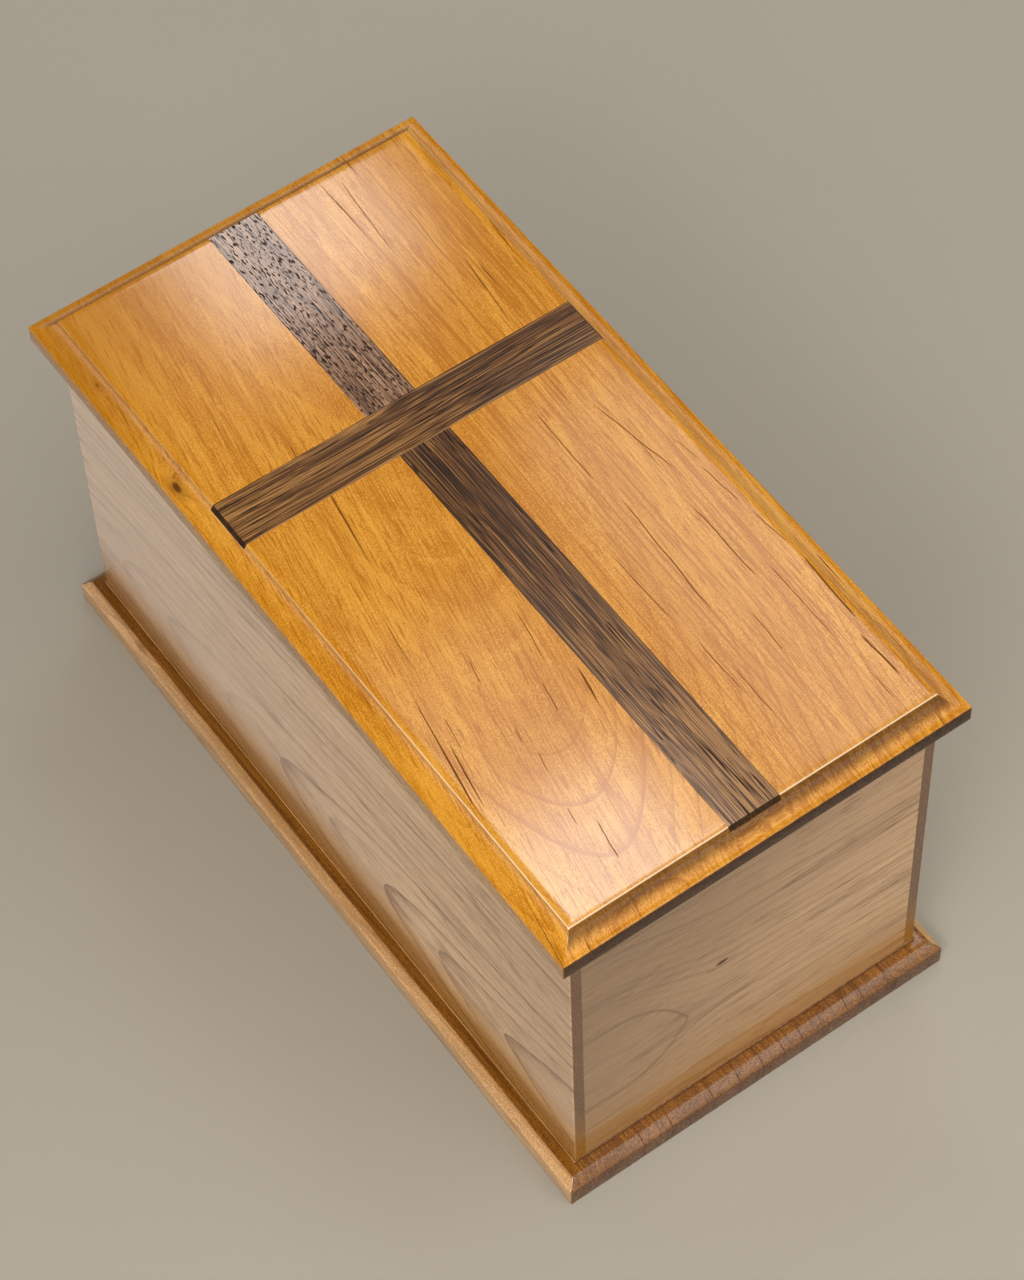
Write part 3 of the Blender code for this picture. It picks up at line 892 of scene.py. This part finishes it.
# The lid's steep cove faces take the end colour as painted shade, partly end grain; its long lip takes the
# edge colours as a painted reflection; its arris carries a painted highlight.
lid_alder = alder(
    "lid_alder",
    {"Face Pale": LID_FACE_PALE, "Face Deep": LID_FACE_DEEP, "Edge Pale": LID_SHEEN_EDGE_PALE,
     "Edge Deep": LID_SHEEN_EDGE_DEEP, "End Pale": LID_END_PALE, "End Deep": LID_END_DEEP, "Pitch": LID_PITCH},
    {"Pith": (-0.017, 0, 0.1086), "Lean Left": 0.17, "Lean Right": 0.03, "Taper": 0.17, "Wander": 0.005,
     "Seed": 1.3},
    {"Ring Width": 0.0034, "Rings": 1.2, "Bands": 0.8, "Vessels": 0.9, "Streaks": 0.68, "Seed": 4.66},
    knots=[(LID_KNOT, 0.0015, 0.004, 1.6), (LID_KNOT, 0.0036, 0.0, 0.45),
           (LID_SMALL_KNOT, 0.0007, 0.001, 1.4), (LID_SMALL_KNOT, 0.0020, 0.0, 0.40)],
    streaks=LID_STREAKS, drift=[(LID_DARK_COLOUR, (-0.035, 0.08, 0), (-0.075, 0.125, 0), 0.55)],
    varied=[("Ring Lines", "Y", (-0.070, -0.100, 0.30, 1.3)), ("Lines", "X", (-0.005, 0.020, 0.25, 0.75))],
    arris_highlight=(LID_ARRIS_HIGHLIGHT_COLOUR, lid_high.z), end_grain_and_shade_slope=0.75, dulled=0.7, end_from=0.92, edge_from=0.80)
fit(lid, "lid", lid_alder)

# The cross: three strips of walnut let into the lid flush with the field. The bar runs through and the
# upright is butted to it from both sides. Their ends were worked to the cove together with the lid.
STRIP_EASE = 0.00008
STRIP_STEPS = 10
WALNUT_BUMP = 0.00008
WALNUT_DARK = (47, 27, 10)
WALNUT_MID = (103, 65, 29)
WALNUT_TAN = (170, 123, 67)
WALNUT_PORE = (24, 14, 9)
# The head strip's paler, greyer walnut colours are a painted sheen where the lacquer mirrors the lamp above.
HEAD_WALNUT_SHEEN_MID = (114, 80, 58)
HEAD_WALNUT_SHEEN_TAN = (176, 136, 104)
# How many times a metre the waves and fibres of walnut repeat across the strip, along it and through it.
WALNUT_WAVES = (30, 9, 30)
WALNUT_WAVE_HEIGHT = 0.004
WALNUT_FIBRES = (3300, 26, 3300)
WALNUT_STREAKS_ALONG = 5.0
WALNUT_FIBRE_CONTRAST = 2.9
PORE_RARITY = 0.80
PORE_GATHERING = 0.30
PORE_EDGE = 0.05
MID_CHANGE = (0.1, 0.55)
TAN_CHANGE = (0.5, 1.0)


def walnut_group():
    """Walnut: dark and tan streaks along the grain, and open pores as short dark dashes."""
    blank = (1.0,) * 4
    group, given, result = new_group(
        "Walnut grain",
        {"Position": Vector(), "Seed": Vector(), "Streak Width": 0.004, "Streak Contrast": 1.0,
         "Pore Length": 0.004, "Pore Width": 0.0008, "Pores": 0.5, "Tone": 0.5, "Dark": blank,
         "Mid": blank, "Tan": blank, "Pore": blank, "End": 0.0},
        {"Color": tuple, "Roughness": float, "Height": float, "Lacquer": float})
    place = vector_maths(group, "ADD", given["Position"], given["Seed"])
    wave = maths(group, "SUBTRACT", marks(group, place, WALNUT_WAVES, 2.0), 0.5)
    wave = maths(group, "MULTIPLY", wave, WALNUT_WAVE_HEIGHT)
    bent = vector_maths(group, "ADD", place, vector_of(group, wave, 0.0, wave))
    across = maths(group, "DIVIDE", 1.0, given["Streak Width"])
    streak = marks(group, bent, vector_of(group, across, WALNUT_STREAKS_ALONG, across), 4.0, 0.65)
    fine = marks(group, bent, WALNUT_FIBRES, 2.0, 0.6)
    across = maths(group, "DIVIDE", 1.0, given["Pore Width"])
    along = maths(group, "DIVIDE", 1.0, given["Pore Length"])
    pore = marks(group, bent, vector_of(group, across, along, across), 1.0)
    level = maths(group, "MULTIPLY", given["Pores"], PORE_GATHERING)
    level = maths(group, "SUBTRACT", PORE_RARITY, level)
    pore = ramp(group, maths(group, "SUBTRACT", pore, level), 0.0, PORE_EDGE)
    tone = swayed(group, given["Tone"], streak, given["Streak Contrast"])
    tone = swayed(group, tone, fine, WALNUT_FIBRE_CONTRAST)
    cut_end = maths(group, "MULTIPLY", given["End"], 0.85)
    colour = mix_paint(group, ramp(group, tone, *MID_CHANGE), given["Dark"], given["Mid"])
    colour = mix_paint(group, ramp(group, tone, *TAN_CHANGE), colour, given["Tan"])
    colour = mix_paint(group, cut_end, colour, given["Pore"])
    colour = mix_paint(group, maths(group, "MULTIPLY", pore, 0.9), colour, given["Pore"])
    rough = maths(group, "MULTIPLY_ADD", fine, 0.2, 0.26)
    bare = maths(group, "MAXIMUM", pore, cut_end)
    put_out(group, result,
            Color=colour,
            Roughness=maths(group, "MULTIPLY_ADD", pore, 0.3, rough),
            Height=maths(group, "SUBTRACT", maths(group, "MULTIPLY", fine, 0.5), pore),
            Lacquer=ramp(group, bare, 1.0, 0.0, 0.0, 0.75))
    return group


WALNUT_GRAIN = walnut_group()


def walnut(name, seed, along, tone, grain):
    """Lacquered walnut for one strip. Tone is how pale it is: (from, to, first, last) along the strip."""
    made, tree, shader, given = new_material(name)
    place = along_board(tree, given["Object"], along)
    normal = along_board(tree, given["Normal"], along)
    figure = use_group(tree, WALNUT_GRAIN, {
        "Position": place, "Seed": seed, "Tone": ramp(tree, parts_of(tree, place)[1], *tone),
        "End": facing(tree, normal, (0, 1, 0), 0.4), "Dark": paint(*WALNUT_DARK),
        "Mid": paint(*WALNUT_MID), "Tan": paint(*WALNUT_TAN), "Pore": paint(*WALNUT_PORE), **grain})
    lacquered(tree, shader, figure["Color"], figure, figure["Lacquer"], WALNUT_BUMP)
    return made


def strip(name, low, high, coved):
    """A strip as deep as its groove. Ends named in coved (near, far, left, right) follow the lid's cove."""
    levels = []
    for step in range(STRIP_STEPS + 1):
        levels.append((groove_bottom + (lid_high.z - STRIP_EASE - groove_bottom) * step / STRIP_STEPS, 0.0))
    levels.append((lid_high.z, STRIP_EASE))
    outlines = []
    for height, ease in levels:
        inset = cove_inset(height)
        left = ease + (lid_low.x + inset if "left" in coved else low.x)
        right = (lid_high.x - inset if "right" in coved else high.x) - ease
        near = ease + (lid_low.y + inset if "near" in coved else low.y)
        far = (lid_high.y - inset if "far" in coved else high.y) - ease
        outlines.append([(x, y, height) for x, y in ((left, near), (right, near), (right, far), (left, far))])
    return stacked(name, outlines)


head_walnut = walnut(
    "head_walnut", (0.31, 0.0, 0.12), "Y", (0.05, 0.14, 0.66, 0.70),
    {"Streak Width": 0.010, "Streak Contrast": 0.5, "Pore Length": 0.0024, "Pore Width": 0.00050,
     "Pores": 0.80, "Mid": paint(*HEAD_WALNUT_SHEEN_MID), "Tan": paint(*HEAD_WALNUT_SHEEN_TAN)})
# The foot strip pales towards the near end: a painted sheen where the lacquer mirrors the lamps.
foot_walnut = walnut(
    "foot_walnut", (0.77, 0.0, 0.45), "Y", (0.01, -0.14, 0.32, 0.70),
    {"Streak Width": 0.0022, "Streak Contrast": 0.6, "Pore Length": 0.018, "Pore Width": 0.00045,
     "Pores": 0.60})
bar_walnut = walnut(
    "bar_walnut", (0.18, 0.0, 0.93), "X", (-0.06, 0.06, 0.62, 0.46),
    {"Streak Width": 0.0036, "Streak Contrast": 1.3, "Pore Length": 0.018, "Pore Width": 0.00045,
     "Pores": 0.50})
head = strip("cross_head_strip", Vector((head_low.x, bar_high.y, 0)), Vector((head_high.x, lid_high.y, 0)),
             ("far",))
fit(head, "cross_upright_head", head_walnut)
foot = strip("cross_foot_strip", Vector((head_low.x, lid_low.y, 0)), Vector((head_high.x, bar_low.y, 0)),
             ("near",))
fit(foot, "cross_upright_foot", foot_walnut)
bar = strip("cross_bar_strip", bar_low, bar_high, ("left", "right"))
fit(bar, "cross_bar", bar_walnut)
